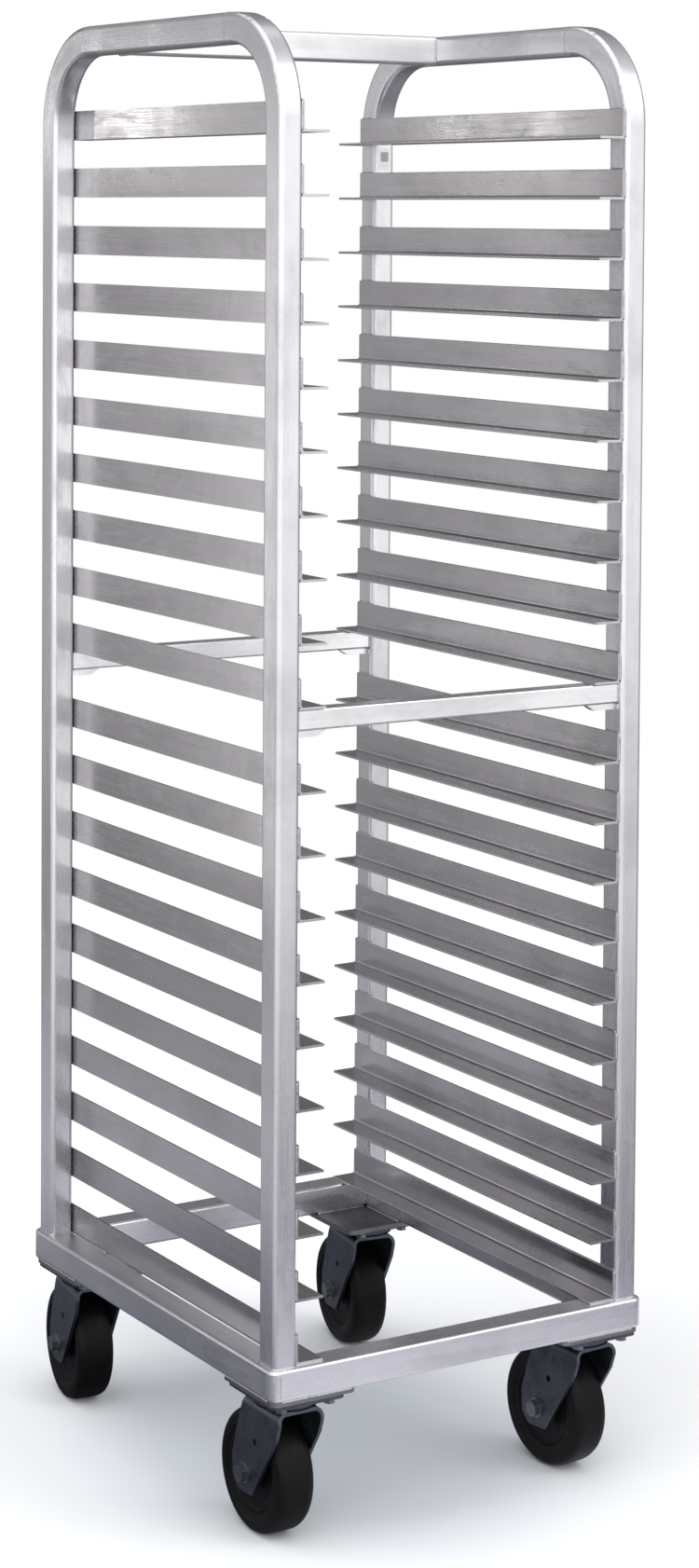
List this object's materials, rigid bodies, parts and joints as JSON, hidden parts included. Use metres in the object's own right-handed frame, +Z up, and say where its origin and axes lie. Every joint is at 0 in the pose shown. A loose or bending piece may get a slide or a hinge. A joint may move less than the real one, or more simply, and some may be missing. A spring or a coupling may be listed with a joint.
{
  "type": "sheet pan rack",
  "caption": "Tall open aluminium sheet pan rack with angle ledges between bent tube side frames on a square tube base with swivel casters.",
  "frame": {"origin": "floor point under the middle of the whole rack, trailing wheels included", "axes": "+Z up, +Y from the open front to the rear, +X to the right seen from the front"},
  "size_m": [0.5462, 0.7076, 1.8542],
  "materials": {
    "tube": "satin",
    "runner": "satin",
    "zinc_steel": "zinc plated",
    "fastener": "zinc plated",
    "tyre": "smooth",
    "hub": "moulded"
  },
  "bodies": {
    "frame": {"left_side_frame": "tube", "right_side_frame": "tube", "base_front_rail": "tube", "base_rear_rail": "tube", "base_left_rail": "tube", "base_right_rail": "tube", "top_brace": "tube", "front_mid_brace": "tube", "rear_mid_brace": "tube", "brace_gussets": "tube", "runner_pair_01": "runner", "runner_pair_02": "runner", "runner_pair_03": "runner", "runner_pair_04": "runner", "runner_pair_05": "runner", "runner_pair_06": "runner", "runner_pair_07": "runner", "runner_pair_08": "runner", "runner_pair_09": "runner", "runner_pair_10": "runner", "runner_pair_11": "runner", "runner_pair_12": "runner", "runner_pair_13": "runner", "runner_pair_14": "runner", "runner_pair_15": "runner", "runner_pair_16": "runner", "runner_pair_17": "runner", "runner_pair_18": "runner", "runner_pair_19": "runner", "runner_pair_20": "runner", "corner_plate_front_left": "tube", "top_plate_front_left": "zinc_steel", "kingpin_front_left": "zinc_steel", "corner_plate_front_right": "tube", "top_plate_front_right": "zinc_steel", "kingpin_front_right": "zinc_steel", "corner_plate_rear_left": "tube", "top_plate_rear_left": "zinc_steel", "kingpin_rear_left": "zinc_steel", "corner_plate_rear_right": "tube", "top_plate_rear_right": "zinc_steel", "kingpin_rear_right": "zinc_steel", "caster_bolts": "fastener"},
    "fork_front_left": {"fork_front_left": "zinc_steel", "axle_front_left": "fastener"},
    "wheel_front_left": {"tyre_front_left": "tyre", "hub_front_left": "hub"},
    "fork_front_right": {"fork_front_right": "zinc_steel", "axle_front_right": "fastener"},
    "wheel_front_right": {"tyre_front_right": "tyre", "hub_front_right": "hub"},
    "fork_rear_left": {"fork_rear_left": "zinc_steel", "axle_rear_left": "fastener"},
    "wheel_rear_left": {"tyre_rear_left": "tyre", "hub_rear_left": "hub"},
    "fork_rear_right": {"fork_rear_right": "zinc_steel", "axle_rear_right": "fastener"},
    "wheel_rear_right": {"tyre_rear_right": "tyre", "hub_rear_right": "hub"}
  },
  "joints": [
    {"name": "swivel_front_left", "type": "hinge", "parent": "frame", "child": "fork_front_left", "pos_m": [-0.217, -0.29194, 0.1725], "axis": [0, 0, 1], "continuous": true},
    {"name": "roll_front_left", "type": "hinge", "parent": "fork_front_left", "child": "wheel_front_left", "pos_m": [-0.217, -0.24694, 0.0762], "axis": [1, 0, 0], "continuous": true},
    {"name": "swivel_front_right", "type": "hinge", "parent": "frame", "child": "fork_front_right", "pos_m": [0.217, -0.29194, 0.1725], "axis": [0, 0, 1], "continuous": true},
    {"name": "roll_front_right", "type": "hinge", "parent": "fork_front_right", "child": "wheel_front_right", "pos_m": [0.21386, -0.24704, 0.0762], "axis": [0.9976, 0.0698, 0], "continuous": true},
    {"name": "swivel_rear_left", "type": "hinge", "parent": "frame", "child": "fork_rear_left", "pos_m": [-0.217, 0.23206, 0.1725], "axis": [0, 0, 1], "continuous": true},
    {"name": "roll_rear_left", "type": "hinge", "parent": "fork_rear_left", "child": "wheel_rear_left", "pos_m": [-0.21074, 0.27663, 0.0762], "axis": [0.9903, -0.1392, 0], "continuous": true},
    {"name": "swivel_rear_right", "type": "hinge", "parent": "frame", "child": "fork_rear_right", "pos_m": [0.217, 0.23206, 0.1725], "axis": [0, 0, 1], "continuous": true},
    {"name": "roll_rear_right", "type": "hinge", "parent": "fork_rear_right", "child": "wheel_rear_right", "pos_m": [0.22326, 0.27663, 0.0762], "axis": [0.9903, -0.1392, 0], "continuous": true}
  ]
}
